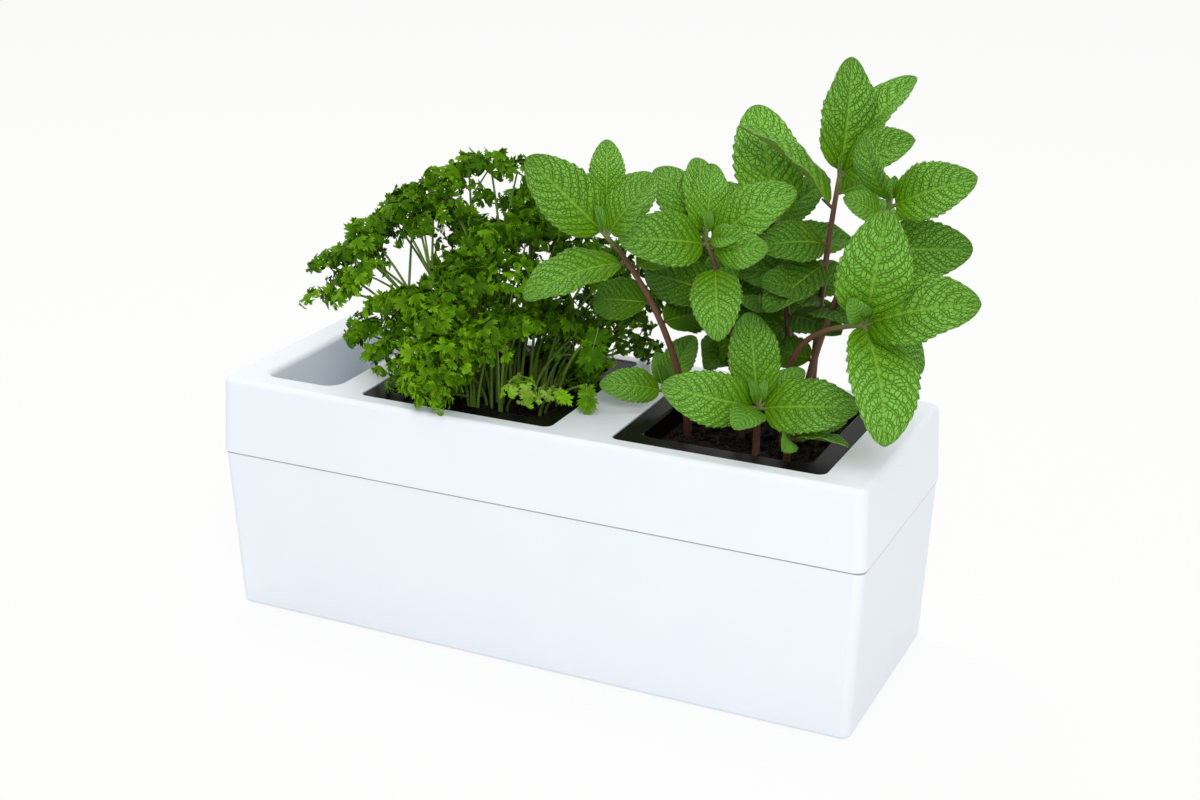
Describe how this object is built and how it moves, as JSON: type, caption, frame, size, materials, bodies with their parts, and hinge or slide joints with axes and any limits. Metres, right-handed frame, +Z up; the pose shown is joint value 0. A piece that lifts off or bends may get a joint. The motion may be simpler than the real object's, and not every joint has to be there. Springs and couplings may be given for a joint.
{
  "type": "self-watering herb planter",
  "caption": "White rectangular self-watering planter: water tub, lift-off cover with a filling well, and square black pots of parsley and mint that drink through felt wicks.",
  "frame": {"origin": "middle of the tub's flat underside", "axes": "+X along the planter from the filling well to the mint, +Z up, -Y towards the viewer's side"},
  "size_m": [0.3662, 0.1469, 0.2855],
  "materials": {
    "white_plastic": "satin white moulding",
    "black_plastic": "thin glossy black moulding",
    "felt": "pressed felt",
    "potting_mix": "moist crumbly peat",
    "parsley": "curled green leaves on pale stalks",
    "mint": "puckered green leaves on brown stems"
  },
  "bodies": {
    "tub": {"reservoir_tub": "white_plastic"},
    "cover": {"top_cover": "white_plastic"},
    "parsley": {"parsley_pot": "black_plastic", "parsley_wick": "felt", "parsley_mix": "potting_mix", "parsley_plant": "parsley"},
    "mint": {"mint_pot": "black_plastic", "mint_wick": "felt", "mint_mix": "potting_mix", "mint_front": "mint", "mint_left": "mint", "mint_middle": "mint", "mint_back": "mint", "mint_tall": "mint", "mint_right": "mint", "mint_outer": "mint", "mint_low": "mint", "mint_rear": "mint", "mint_sprout": "mint"}
  },
  "joints": [
    {"name": "cover_lift", "type": "slide", "parent": "tub", "child": "cover", "axis": [0, 0, 1], "range_m": [0, 0.1]},
    {"name": "parsley_pot_lift", "type": "slide", "parent": "cover", "child": "parsley", "axis": [0, 0, 1], "range_m": [0, 0.12]},
    {"name": "mint_pot_lift", "type": "slide", "parent": "cover", "child": "mint", "axis": [0, 0, 1], "range_m": [0, 0.12]}
  ]
}
